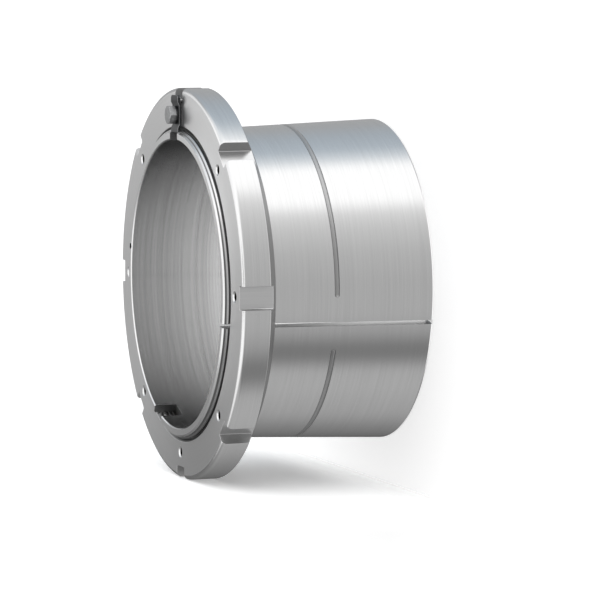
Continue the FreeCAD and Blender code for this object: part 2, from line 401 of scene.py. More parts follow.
def cut_away(piece: bpy.types.Object, cutter: bmesh.types.BMesh, *left: bpy.types.Material) -> None:
    """Cut a closed shape out of a piece.

    Args:
        piece: the piece that is cut.
        cutter: the shape taken away; it is used up.
        left: the materials of the faces that the cut leaves, by the cutter's material indices.
    """
    tool = make_object("cutter", cutter, *left)
    modifier = piece.modifiers.new("cut", "BOOLEAN")
    modifier.operation, modifier.solver, modifier.object = "DIFFERENCE", "EXACT", tool
    modifier.material_mode = "TRANSFER"
    apply_modifiers(piece)
    remove_object(tool)


def break_edges(piece: bpy.types.Object, width: float) -> None:
    """Round every sharp edge of a piece a little, as deburring does.

    Args:
        piece: the piece.
        width: how wide the rounding is.
    """
    bevel = piece.modifiers.new("broken_edges", "BEVEL")
    bevel.width, bevel.segments, bevel.limit_method = width * MM, 2, "ANGLE"
    bevel.angle_limit = math.radians(32)
    bevel.use_clamp_overlap = True
    apply_modifiers(piece)


def join_shapes(piece: bpy.types.Object, other: bpy.types.Object) -> None:
    """Put another object's mesh into a piece and remove that object.

    Args:
        piece: the piece, which has every material of the other object.
        other: the other object, whose faces keep their materials.
    """
    whole, part = bmesh.new(), bmesh.new()
    whole.from_mesh(piece.data)
    part.from_mesh(other.data)
    slots = [piece.data.materials.find(material.name) for material in other.data.materials]
    for face in part.faces:
        face.material_index = slots[face.material_index]
    merge_into(whole, part)
    whole.to_mesh(piece.data)
    whole.free()
    remove_object(other)


def shade(piece: bpy.types.Object) -> None:
    """Shade a piece smoothly between its sharp edges and keep its flat faces flat.

    Args:
        piece: the piece.
    """
    piece.data.shade_smooth()
    piece.data.set_sharp_from_angle(angle=math.radians(38))
    weighted = piece.modifiers.new("flat_faces", "WEIGHTED_NORMAL")
    weighted.keep_sharp = True
    weighted.weight = 80


def copy_node(node: str, name: str) -> bpy.types.Object:
    """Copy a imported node's mesh, merge its loose triangles and clear the lines between coplanar ones.

    Args:
        node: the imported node.
        name: the copy's name.

    Returns:
        The copy.
    """
    shape = bmesh.new()
    shape.from_mesh(bpy.data.objects[node].data)
    bmesh.ops.remove_doubles(shape, verts=shape.verts, dist=IN_LINE)
    bmesh.ops.dissolve_limit(shape, angle_limit=math.radians(1), verts=shape.verts, edges=shape.edges)
    bmesh.ops.recalc_face_normals(shape, faces=shape.faces)
    return make_object(name, shape)


def settle(piece: bpy.types.Object, node: str) -> bpy.types.Object:
    """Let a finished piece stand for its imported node.

    Args:
        piece: the finished piece.
        node: the node that it stands for.

    Returns:
        The piece.
    """
    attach(piece, "root")
    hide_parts(node)
    log.info("%s stands for %s with %d faces", piece.name, node, len(piece.data.polygons))
    return piece


# Finishes


@dataclass(frozen=True)
class MachinedSteel:
    """Bare steel as a machine tool leaves it: a cool grey metal whose fine lines stretch every highlight.

    The lines of a real cut lie about 0.3 mm apart, under a pixel of the render, so they are drawn coarser.
    Swell is the width of the broader bands that a tool's chatter leaves over them.
    """

    name: str
    lay: Lay = Lay.TURNED
    colour: str = "#dbdbdb"
    line_colour: str = "#d5d5d5"
    tone_span: tuple[float, float] = (0.45, 0.8)
    roughness: float = 0.22
    roughness_swing: float = 0.015
    line: float = 1.2
    line_length: float = 90.0
    swell: float = 7.0
    swell_share: float = 0.25
    depth: float = 0.0007
    stretch: float = 0.5

    def material(self) -> bpy.types.Material:
        """Make the finish, on Object coordinates.

        Returns:
            The material.
        """
        material, tree = new_material(self.name)
        place, around = self.pattern(tree)
        settings = {"noise_dimensions": "4D" if around else "3D", "Roughness": 0.6}
        links = {"Vector": place} | ({"W": around} if around else {})
        cut, broad = (
            add_node(
                tree, "TexNoise", settings | {"Scale": 1.0 / (size * MM), "Detail": detail}, links
            ).outputs[0]
            for size, detail in ((self.line, 4.0), (self.swell, 2.0))
        )
        both = add_node(
            tree, "Math", {"operation": "MULTIPLY_ADD", 1: self.swell_share}, {0: broad, 2: cut}
        ).outputs[0]
        low, high = self.tone_span
        tone = add_node(
            tree, "ValToRGB",
            {"stops": [(low, linear(self.line_colour)), (high, linear(self.colour))]}, {"Fac": both},
        ).outputs["Color"]
        dull, bright = self.roughness + self.roughness_swing, self.roughness - self.roughness_swing
        rough = add_node(
            tree, "MapRange", {"From Min": low, "From Max": high, "To Min": dull, "To Max": bright},
            {"Value": both},
        ).outputs["Result"]
        bump = add_node(
            tree, "Bump", {"Strength": 1.0, "Distance": self.depth * MM}, {"Height": cut}
        ).outputs["Normal"]
        tangent = add_node(tree, "Tangent", {"direction_type": "RADIAL", "axis": "Z"}).outputs["Tangent"]
        quarter = 0.25 if self.lay is Lay.TURNED else 0.0
        surface = add_node(
            tree, "BsdfPrincipled",
            {"Metallic": 1.0, "Anisotropic": self.stretch, "Anisotropic Rotation": quarter},
            {"Base Color": tone, "Roughness": rough, "Normal": bump, "Tangent": tangent},
        ).outputs["BSDF"]
        add_node(tree, "OutputMaterial", links={"Surface": surface})
        return material

    def pattern(self, tree: bpy.types.NodeTree) -> tuple[bpy.types.NodeSocket, bpy.types.NodeSocket | None]:
        """Lay the lines along the axis, or round it without a seam.

        Args:
            tree: the material's node tree.

        Returns:
            Where the lines are read, and the fourth coordinate of those that go round.
        """
        place = add_node(tree, "TexCoord").outputs["Object"]
        squeeze = self.line / self.line_length
        if self.lay is Lay.MILLED:
            along = add_node(tree, "Mapping", {"Scale": (1.0, 1.0, squeeze)}, {"Vector": place}).outputs[0]
            return along, None
        whole = add_node(tree, "SeparateXYZ", links={"Vector": place}).outputs
        flat = add_node(tree, "VectorMath", {"operation": "MULTIPLY", 1: (1, 1, 0)}, {0: place}).outputs[0]
        radius = add_node(tree, "VectorMath", {"operation": "LENGTH"}, {0: flat}).outputs["Value"]
        facing = add_node(tree, "VectorMath", {"operation": "NORMALIZE"}, {0: flat}).outputs[0]
        reach = LINE_RADIUS * MM * squeeze
        spread = add_node(tree, "VectorMath", {"operation": "SCALE", "Scale": reach}, {0: facing}).outputs[0]
        share = add_node(tree, "SeparateXYZ", links={"Vector": spread}).outputs
        rings = add_node(tree, "CombineXYZ", links={"X": radius, "Y": whole["Z"], "Z": share["X"]}).outputs[0]
        return rings, share["Y"]


@dataclass(frozen=True)
class BlackenedSteel:
    """Steel blackened in a hot oxide bath: a dark metal, soft in its gloss and worn bright in specks.

    The specks of a real one are grains of some 0.1 mm, so they are drawn coarser.
    """

    name: str
    colour: str = "#6d6e70"
    worn: str = "#9a9b9d"
    tone_span: tuple[float, float] = (0.45, 0.75)
    roughness: float = 0.36
    smoother: float = 0.08
    rougher: float = 0.12
    grain: float = 2.2
    depth: float = 0.02

    def material(self) -> bpy.types.Material:
        """Make the finish, on Object coordinates.

        Returns:
            The material.
        """
        material, tree = new_material(self.name)
        place = add_node(tree, "TexCoord").outputs["Object"]
        cloud = add_node(
            tree, "TexNoise", {"Scale": 1.0 / (self.grain * MM), "Detail": 5.0, "Roughness": 0.65},
            {"Vector": place},
        ).outputs[0]
        low, high = self.tone_span
        tone = add_node(
            tree, "ValToRGB",
            {"stops": [(low, linear(self.colour)), (high, linear(self.worn))]}, {"Fac": cloud},
        ).outputs["Color"]
        bright, dull = self.roughness - self.smoother, self.roughness + self.rougher
        rough = add_node(tree, "MapRange", {"To Min": bright, "To Max": dull}, {"Value": cloud}).outputs[0]
        bump = add_node(
            tree, "Bump", {"Strength": 1.0, "Distance": self.depth * MM}, {"Height": cloud}
        ).outputs["Normal"]
        surface = add_node(
            tree, "BsdfPrincipled", {"Metallic": 1.0},
            {"Base Color": tone, "Roughness": rough, "Normal": bump},
        ).outputs["BSDF"]
        add_node(tree, "OutputMaterial", links={"Surface": surface})
        return material


# The object's pieces


@dataclass
class Thread:
    """The trapezoidal thread that the sleeve and the nut share.

    Its phase is how far the ridge's middle lies above a whole number of turns at azimuth 0.
    """

    pitch: float = 4.0
    crest_width: float = 1.46
    flank: float = 15.0
    phase: float = 1.1

    def ridge(self, crest: float, base: float, crest_width: float) -> Outline:
        """Draw a ridge's section about height 0.

        Args:
            crest: the radius of its crest.
            base: the radius of its base.
            crest_width: the height of its crest.

        Returns:
            Its corners as (radius, height).
        """
        spread = abs(crest - base) * math.tan(math.radians(self.flank))
        half = crest_width / 2
        return [(base, -half - spread), (crest, -half), (crest, half), (base, half + spread)]

    def wind(
        self,
        section: Outline,
        low: float,
        high: float,
        limit: Callable[[float, float], float],
        shift: float = 0.0,
    ) -> bmesh.types.BMesh:
        """Wind a ridge about Z and trim it to the length it is cut over.

        Args:
            section: the ridge's corners as (radius, height), about height 0.
            low: the height at which the ridge starts.
            high: the height at which it ends.
            limit: gives the radius of a point after trimming, from its radius and height.
            shift: how far the ridge lies above the sleeve's.

        Returns:
            A closed ridge.
        """
        ridge = bmesh.new()
        first = self.pitch * math.floor(low / self.pitch - 1) + self.phase + shift
        turns = math.ceil((high - first) / self.pitch) + 1
        steps = STEPS // 2
        corners = [ridge.verts.new((radius * MM, 0, (first + height) * MM)) for radius, height in section]
        face = ridge.faces.new(corners)
        spin(ridge, [face], steps * turns, math.tau * turns, self.pitch * MM / steps, closed=False)
        for height, facing in ((low, -1), (high, 1)):
            bmesh.ops.bisect_plane(
                ridge, geom=ridge.verts[:] + ridge.edges[:] + ridge.faces[:], dist=MERGE,
                plane_co=(0, 0, height * MM), plane_no=(0, 0, facing), clear_outer=True,
            )
            bmesh.ops.holes_fill(ridge, edges=[edge for edge in ridge.edges if edge.is_boundary], sides=0)
        for point in ridge.verts:
            radius = math.hypot(point.co.x, point.co.y)
            trimmed = limit(radius / MM, point.co.z / MM) * MM
            point.co.x *= trimmed / radius
            point.co.y *= trimmed / radius
        bmesh.ops.recalc_face_normals(ridge, faces=ridge.faces)
        return ridge


@dataclass
class AdapterSleeve:
    """The slit sleeve: bore, taper, thread, keyways, oil groove and oil port."""

    thread: Thread
    finish: MachinedSteel
    bore_finish: MachinedSteel
    end_finish: MachinedSteel
    groove_finish: MachinedSteel
    cut_and_shade_finish: MachinedSteel
    hole_finish: BlackenedSteel
    bore: float = 140.0
    length: float = 208.0
    foot: float = 157.142
    shoulder: float = 150.6
    shoulder_height: float = 157.0
    crest: float = 150.0
    root: float = 148.0
    relief: float = 147.5
    thread_foot: float = 161.5
    nose: float = 3.5
    foot_chamfer: float = 1.5
    bore_chamfer: float = 1.0
    slit: float = 4.0
    slit_azimuth: float = 258.75
    keyway: float = 22.0
    keyway_depth: float = 22.0
    keyway_azimuths: tuple[float, ...] = (0.0, 157.5)
    groove_height: float = 96.5
    groove: float = 2.5
    groove_depth: float = 2.0
    groove_land: float = 10.5
    port: float = 2.5
    port_depth: float = 12.0
    port_tip: float = 1.4
    port_inset: float = 3.8
    port_azimuth: float = 78.75
    port_thread: float = 0.45
    port_pitch: float = 1.0
    port_lip: float = 0.2
    edge_break: float = 0.35
    bore_margin: float = 0.1
    crest_margin: float = 0.05

    @property
    def root_start(self) -> float:
        """Return the height at which the thread's root starts."""
        return self.thread_foot + self.root - self.relief

    @property
    def root_end(self) -> float:
        """Return the height at which the thread's root ends."""
        return self.length - self.nose + self.crest - self.root

    def slope(self, height: float) -> float:
        """Return the taper's radius at a height."""
        widening = (self.foot - self.shoulder) / self.shoulder_height
        return self.shoulder + (self.shoulder_height - height) * widening

    def wall(self) -> Outline:
        """Draw the wall's section, with the thread's root in place of its crest.

        Returns:
            Its corners as (radius, height).
        """
        below, above = self.groove_height - 2 * self.groove, self.groove_height + 2 * self.groove
        return [
            (self.bore + self.bore_chamfer, 0),
            (self.foot - self.foot_chamfer, 0),
            (self.slope(self.foot_chamfer), self.foot_chamfer),
            (self.slope(below), below),
            (self.slope(above), above),
            (self.shoulder, self.shoulder_height),
            (self.relief, self.shoulder_height + self.shoulder - self.relief),
            (self.relief, self.thread_foot),
            (self.root, self.root_start),
            (self.root, self.root_end),
            (self.crest - self.nose, self.length),
            (self.bore + self.bore_chamfer, self.length),
            (self.bore, self.length - self.bore_chamfer),
            (self.bore, self.bore_chamfer),
        ]

    def trim(self, radius: float, height: float) -> float:
        """Chamfer both ends of the thread.

        Args:
            radius: the radius of a point of the thread.
            height: its height.

        Returns:
            The radius that the chamfers leave it.
        """
        nose = self.crest - (height - self.length + self.nose)
        run_in = self.relief + height - self.thread_foot
        return min(radius, nose, run_in)

    def ring(self) -> bmesh.types.BMesh:
        """Turn the ring, with half a step's turn so that no row of points lies in a slit or keyway wall.

        Returns:
            The ring, its faces in the order of SleeveFace.
        """
        ring = spin_ring(self.wall(), 180 / STEPS)
        for face in ring.faces:
            middle = face.calc_center_median() / MM
            if abs(face.normal.z) > LEVEL:
                face.material_index = SleeveFace.END
            elif middle.xy.length < self.bore + self.bore_margin:
                face.material_index = SleeveFace.BORE
            # The relief and the thread's root take the dark cut steel, whose colour is painted shade there
            elif self.shoulder_height < middle.z < self.length - self.nose:
                face.material_index = SleeveFace.THREAD
            else:
                face.material_index = SleeveFace.OUTSIDE
        return ring

    def winding(self) -> bmesh.types.BMesh:
        """Cut the thread's ridge.

        Returns:
            The ridge, with material 0 on its crest and 1 on its flanks.
        """
        section = self.thread.ridge(self.crest, self.root - SUNK, self.thread.crest_width)
        ridge = self.thread.wind(section, self.root_start, self.root_end, self.trim)
        for face in ridge.faces:
            under = (self.trim(self.crest, v.co.z / MM) - v.co.xy.length / MM for v in face.verts)
            # Flanks take the dark cut steel, painted shade down the thread's valleys
            face.material_index = 0 if all(depth < self.crest_margin for depth in under) else 1
        return ridge

    def openings(self) -> bmesh.types.BMesh:
        """Place the slit and the two keyways.

        Returns:
            Their cutter.
        """
        cutter = bmesh.new()
        inner, outer, high = self.bore - PAST_SIDE, self.foot + PAST_SIDE, self.length + PAST_END
        add_block(cutter, inner, outer, self.slit, -PAST_END, high, self.slit_azimuth)
        for azimuth in self.keyway_azimuths:
            add_block(cutter, inner, outer, self.keyway, self.length - self.keyway_depth, high, azimuth)
        return cutter

    def oil_groove(self) -> tuple[bmesh.types.BMesh, bmesh.types.BMesh]:
        """Place the round groove along the taper, which ends short of the slit on both sides.

        Returns:
            The cutter of its run, and that of its rounded ends.
        """
        radius = (self.groove**2 + self.groove_depth**2) / (2 * self.groove_depth)
        out = self.slope(self.groove_height) + radius - self.groove_depth
        lift = Matrix.Translation(Vector((out, 0, self.groove_height)) * MM)
        upright = lift @ Matrix.Rotation(math.pi / 2, 4, "X")
        start = Matrix.Rotation(math.radians(self.slit_azimuth + self.groove_land), 4, "Z") @ upright
        sweep = math.radians(360 - 2 * self.groove_land)
        run = bmesh.new()
        bmesh.ops.create_circle(run, cap_ends=True, segments=HOLE_SIDES, radius=radius * MM, matrix=start)
        spin(run, run.faces[:], angle=sweep, closed=False)
        bmesh.ops.recalc_face_normals(run, faces=run.faces)
        ends = bmesh.new()
        for place in (start, Matrix.Rotation(sweep, 4, "Z") @ start):
            bmesh.ops.create_uvsphere(
                ends, u_segments=HOLE_SIDES, v_segments=HOLE_SIDES // 2 + 1, radius=radius * MM, matrix=place
            )
        return run, ends

    def oil_port(self) -> bmesh.types.BMesh:
        """Place the tapped port in the nose's face.

        Returns:
            Its cutter.
        """
        top, wide = self.length, self.port + self.port_thread
        start = [(0, top + DRILL_START), (wide, top + DRILL_START), (wide, top - self.port_lip)]
        outline = tapped(start, self.port, self.port_thread, self.port_pitch, self.port_pitch / 2)
        foot = top - self.port_depth
        outline += [(self.port, foot), (0, foot - self.port_tip)]
        cutter = bmesh.new()
        add_drill(cutter, outline, self.bore + self.port_inset, self.port_azimuth)
        return cutter

    def build(self) -> bpy.types.Object:
        """Cut the sleeve and dress it.

        Returns:
            The finished sleeve.
        """
        turned, cut = self.finish.material(), self.cut_and_shade_finish.material()
        grooved, bored, faced = (
            finish.material() for finish in (self.groove_finish, self.bore_finish, self.end_finish)
        )
        body = make_object("sleeve_body", self.ring(), turned, bored, cut, faced)
        # Slit and keyway walls take the dark cut steel, painted shade inside them
        cut_away(body, self.openings(), cut, cut)
        # The groove takes the broached steel, darkened as painted shade in it
        for cutter in self.oil_groove():
            cut_away(body, cutter, grooved)
        break_edges(body, self.edge_break)
        # The port's walls take the near-black finish as painted shade down the hole
        cut_away(body, self.oil_port(), self.hole_finish.material())
        winding = make_object("sleeve_thread", self.winding(), turned, cut)
        cut_away(winding, self.openings(), cut, cut)
        join_shapes(body, winding)
        shade(body)
        return settle(body, "adapter_sleeve")


@dataclass
class LockNut:
    """The lock nut: rounded front edge, conical rear edge, spanner slots and tapped holes."""

    thread: Thread
    finish: MachinedSteel
    front_finish: MachinedSteel
    slot_finish: MachinedSteel
    wall_finish: MachinedSteel
    cut_and_shade_finish: MachinedSteel
    hole_finish: BlackenedSteel
    rim: float = 190.0
    front: float = 202.5
    width: float = 40.0
    edge: float = 5.0
    rear_face: float = 166.0
    rear_chamfer: float = 13.0
    bore: float = 150.25
    bore_chamfer: float = 3.0
    ridge_crest: float = 148.2
    ridge_width: float = 1.3
    slot_count: int = 8
    slot: float = 22.0
    slot_depth: float = 12.0
    slot_corner: float = 1.2
    hole_circle: float = 164.0
    hole: float = 4.25
    hole_depth: float = 24.0
    hole_tip: float = 2.4
    hole_thread: float = 0.7
    hole_pitch: float = 1.5
    hole_lip: float = 0.3
    countersink: float = 5.5
    edge_break: float = 0.45
    mouth_margin: float = 0.1
    cone_normal: tuple[float, float] = (-0.95, -0.6)

    @property
    def rear(self) -> float:
        """Return the height of the rear face."""
        return self.front - self.width

    @property
    def mouth(self) -> float:
        """Return the radius of the bore's mouth on both faces."""
        return self.bore + self.bore_chamfer

    @property
    def azimuths(self) -> list[float]:
        """Return the azimuth of each spanner slot, with its tapped hole, in degrees."""
        return [360 / self.slot_count * number for number in range(self.slot_count)]

    def ring(self) -> bmesh.types.BMesh:
        """Turn the ring and round its front edge.

        Returns:
            The ring, its faces in the order of NutFace.
        """
        ring = spin_ring([
            (self.mouth, self.rear),
            (self.rear_face, self.rear),
            (self.rim, self.rear + self.rear_chamfer),
            (self.rim, self.front),
            (self.mouth, self.front),
            (self.bore, self.front - self.bore_chamfer),
            (self.bore, self.rear + self.bore_chamfer),
        ])
        rim, front = self.rim * MM, self.front * MM
        high = [edge for edge in ring.edges if all(abs(v.co.z - front) < IN_LINE for v in edge.verts)]
        corner = [edge for edge in high if all(abs(v.co.xy.length - rim) < IN_LINE for v in edge.verts)]
        bmesh.ops.bevel(
            ring, geom=corner, offset=self.edge * MM, offset_type="OFFSET", segments=8, profile=0.5,
            affect="EDGES", material=-1,
        )
        # The bore and the rear cone, which faces down, take the dark cut steel as painted shade
        steep, shallow = self.cone_normal
        for face in ring.faces:
            inside = face.calc_center_median().xy.length < (self.mouth - self.mouth_margin) * MM
            if face.normal.z > LEVEL:
                face.material_index = NutFace.FRONT
            elif inside or steep < face.normal.z < shallow:
                face.material_index = NutFace.CUT
            else:
                face.material_index = NutFace.RIM
        return ring

    def slots(self) -> bmesh.types.BMesh:
        """Place the spanner slots.

        Returns:
            Their cutter.
        """
        cutter = bmesh.new()
        inner, outer = self.rim - self.slot_depth, self.rim + PAST_SIDE
        low, high = self.rear - PAST_END, self.front + PAST_END
        for azimuth in self.azimuths:
            add_block(cutter, inner, outer, self.slot, low, high, azimuth, self.slot_corner)
        return cutter

    def drills(self, outline: Outline) -> bmesh.types.BMesh:
        """Place one drill at each tapped hole.

        Args:
            outline: the drill's corners as (radius, height).

        Returns:
            Their cutter.
        """
        cutter = bmesh.new()
        for azimuth in self.azimuths:
            add_drill(cutter, outline, self.hole_circle, azimuth)
        return cutter

    def countersink_outline(self) -> Outline:
        """Return the outline of the countersinking drill."""
        top, reach = self.front, self.countersink
        return [(0, top + DRILL_START), (reach, top + DRILL_START), (reach, top), (0, top - reach)]

    def hole_outline(self) -> Outline:
        """Draw a tapped hole, with the thread's turns in its wall.

        Returns:
            Its corners as (radius, height).
        """
        top, radius = self.front, self.hole
        mouth = top - self.countersink + radius
        start = [(0, top + DRILL_START), (radius, top + DRILL_START), (radius, mouth)]
        foot = top - self.hole_depth
        turns = tapped(start, radius, self.hole_thread, self.hole_pitch, self.hole_lip)
        return turns + [(radius, foot), (0, foot - self.hole_tip)]

    def trim(self, radius: float, height: float) -> float:
        """Return a thread point's radius once both mouths of the bore are chamfered."""
        return max(radius, self.mouth - (self.front - height), self.mouth - (height - self.rear))

    def winding(self) -> bmesh.types.BMesh:
        """Cut the thread's ridge, half a turn away from the sleeve's.

        Returns:
            The ridge.
        """
        section = self.thread.ridge(self.ridge_crest, self.bore + SUNK, self.ridge_width)
        low, high = self.rear + self.bore_chamfer, self.front - self.bore_chamfer
        return self.thread.wind(section, low, high, self.trim, shift=self.thread.pitch / 2)

    def build(self) -> bpy.types.Object:
        """Cut the nut and dress it.

        Returns:
            The finished nut.
        """
        turned, cut, broached_and_shaded = (
            finish.material() for finish in (self.finish, self.cut_and_shade_finish, self.wall_finish)
        )
        faced, milled = self.front_finish.material(), self.slot_finish.material()
        body = make_object("nut_body", self.ring(), turned, faced, cut)
        # Slot walls take the broached steel, darkened as painted shade
        cut_away(body, self.slots(), milled, broached_and_shaded)
        break_edges(body, self.edge_break)
        cut_away(body, self.drills(self.countersink_outline()), turned)
        # The tapped holes' walls take the near-black finish as painted shade
        cut_away(body, self.drills(self.hole_outline()), self.hole_finish.material())
        join_shapes(body, make_object("nut_thread", self.winding(), broached_and_shaded))
        shade(body)
        return settle(body, "lock_nut")


@dataclass
class LockingSet:
    """The clip that drops into the keyway, with the bolt and the spring washer that hold it on the nut."""

    clip_finish: BlackenedSteel
    worn_and_highlit_finish: BlackenedSteel
    bolt_finish: BlackenedSteel
    washer_finish: BlackenedSteel
    clip_edge: float = 0.8
    bolt_edge: float = 0.3
    washer_edge: float = 0.25
    worn_highlit_tilt: float = 0.3

    def wear_and_highlight(self, clip: bpy.types.Object) -> None:
        """Bare the metal on the clip's long edges, which slope between its sides and its top or foot, as wear
        and a painted highlight.

        Args:
            clip: the clip, with its edges broken.
        """
        clip.data.materials.append(self.worn_and_highlit_finish.material())
        for face in clip.data.polygons:
            face.material_index = int(min(abs(face.normal.y), abs(face.normal.z)) > self.worn_highlit_tilt)

    def build(self) -> list[bpy.types.Object]:
        """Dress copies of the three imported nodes.

        Returns:
            The finished clip, bolt and washer.
        """
        made = []
        for node, name, slot, edge, finish in (
            ("locking_clip", "clip_strip", "clip_steel", self.clip_edge, self.clip_finish),
            ("clip_bolt", "hexagon_bolt", "bolt_steel", self.bolt_edge, self.bolt_finish),
            ("spring_washer", "washer_ring", "washer_steel", self.washer_edge, self.washer_finish),
        ):
            piece = copy_node(node, name)
            piece.data.materials.append(finish.material())
            break_edges(piece, edge)
            if finish is self.clip_finish:
                self.wear_and_highlight(piece)
            shade(piece)
            made.append(settle(piece, node))
        return made


# The studio


@dataclass
class LightTent:
    """The light tent round the object, which its gloss shows, with plain white behind it for the eye.

    The walls' stops go round the axis in degrees, from 0 toward the camera to 90 toward the clip, and the
    lid's go by how steeply a ray rises. Every other pair of numbers is a soft edge, from none to full, on a
    ray's share of one direction.
    """

    gain: float = 1.55
    walls: tuple[tuple[float, str], ...] = (
        (-180, "#161616"), (-165, "#303030"), (-150, "#525252"), (-128, "#727272"), (-109, "#909090"),
        (-80, "#9e9e9e"), (-65, "#9e9e9e"), (-53, "#646464"), (-45, "#646464"), (-34, "#8e8e8e"),
        (-22, "#9f9f9f"), (3, "#9f9f9f"), (23, "#a9a9a9"), (41, "#bcbcbc"), (53, "#d0d0d0"),
        (62, "#ffffff"), (92, "#ffffff"), (101, "#c8ced3"), (112, "#a1abb4"), (130, "#969fa7"),
        (150, "#909294"), (180, "#888888"),
    )
    upper_grey: str = "#545454"
    upper_foot: tuple[float, float] = (-0.05, 0.2)
    lid: tuple[tuple[float, str], ...] = ((0.975, WHITE), (0.993, "#909090"))
    lid_foot: tuple[float, float] = (0.2, 0.4)
    lid_slope: float = 0.6
    lid_slope_foot: tuple[float, float] = (0.0, 0.25)
    lid_over_camera: tuple[float, float] = (0.6, 0.42)
    lid_past_object: tuple[float, float] = (-0.68, -0.45)
    floor_edge: tuple[float, float] = (-0.72, -0.85)
    floor_past_object: tuple[float, float] = (-0.6, -0.3)
    white_in_gloss: float = 0.06

    def colour(self, tree: bpy.types.NodeTree) -> bpy.types.NodeSocket:
        """Colour the tent from inside: its walls, a lid with a greyer middle, and a white floor.

        The lid counts in full only straight up, and less and less toward the walls.

        Args:
            tree: the world's node tree.

        Returns:
            The tent's colour along a ray.
        """
        ray = add_node(tree, "TexCoord").outputs["Generated"]
        along_x, along_y, up = add_node(tree, "SeparateXYZ", links={"Vector": ray}).outputs
        toward = add_node(tree, "Math", {"operation": "MULTIPLY", 1: -1.0}, {0: along_y}).outputs[0]
        turn = add_node(tree, "Math", {"operation": "ARCTAN2"}, {0: along_x, 1: toward}).outputs[0]
        round_share = add_node(
            tree, "MapRange", {"From Min": -math.pi, "From Max": math.pi}, {"Value": turn}
        ).outputs["Result"]
        stops = [((angle + 180) / 360, linear(colour)) for angle, colour in self.walls]
        cards = add_node(tree, "ValToRGB", {"stops": stops}, {"Fac": round_share}).outputs["Color"]
        walls = add_node(
            tree, "Mix", {"data_type": "RGBA", "blend_type": "LIGHTEN", 7: linear(self.upper_grey)},
            {0: soft_mask(tree, (up, *self.upper_foot)), 6: cards},
        ).outputs[2]
        sloping = add_node(
            tree, "Math", {"operation": "MULTIPLY_ADD", 1: self.lid_slope}, {0: toward, 2: up}
        ).outputs[0]
        lid_edges = soft_mask(
            tree, (sloping, *self.lid_slope_foot), (up, *self.lid_foot), (toward, *self.lid_over_camera),
            (along_x, *self.lid_past_object),
        )
        lid_mask = add_node(tree, "Math", {"operation": "MULTIPLY"}, {0: up, 1: lid_edges}).outputs[0]
        stops = [(height, linear(colour)) for height, colour in self.lid]
        lid = add_node(tree, "ValToRGB", {"stops": stops}, {"Fac": up}).outputs["Color"]
        lidded = add_node(tree, "Mix", {"data_type": "RGBA"}, {0: lid_mask, 6: walls, 7: lid}).outputs[2]
        floor_mask = soft_mask(tree, (up, *self.floor_edge), (along_x, *self.floor_past_object))
        return add_node(
            tree, "Mix", {"data_type": "RGBA", 7: linear(WHITE)}, {0: floor_mask, 6: lidded}
        ).outputs[2]

    def build(self) -> None:
        """Light the tent as the scene's world."""
        world = bpy.data.worlds.new("tent")
        bpy.context.scene.world = world
        world.use_nodes = True
        tree = world.node_tree
        tree.nodes.clear()
        tent = add_node(tree, "Background", {"Strength": self.gain}, {"Color": self.colour(tree)}).outputs[0]
        white = add_node(tree, "Background", {"Color": linear(WHITE), "Strength": 1.0}).outputs[0]
        seen = add_node(tree, "LightPath").outputs
        through = add_node(
            tree, "Math", {"operation": "MAXIMUM"}, {0: seen["Is Camera Ray"], 1: seen["Is Transmission Ray"]}
        ).outputs[0]
        gloss = add_node(
            tree, "Math", {"operation": "MULTIPLY", 1: self.white_in_gloss}, {0: seen["Is Glossy Ray"]}
        ).outputs[0]
        behind = add_node(tree, "Math", {"operation": "MAXIMUM"}, {0: through, 1: gloss}).outputs[0]
        mixed = add_node(tree, "MixShader", links={0: behind, 1: tent, 2: white}).outputs[0]
        add_node(tree, "OutputWorld", links={"Surface": mixed})


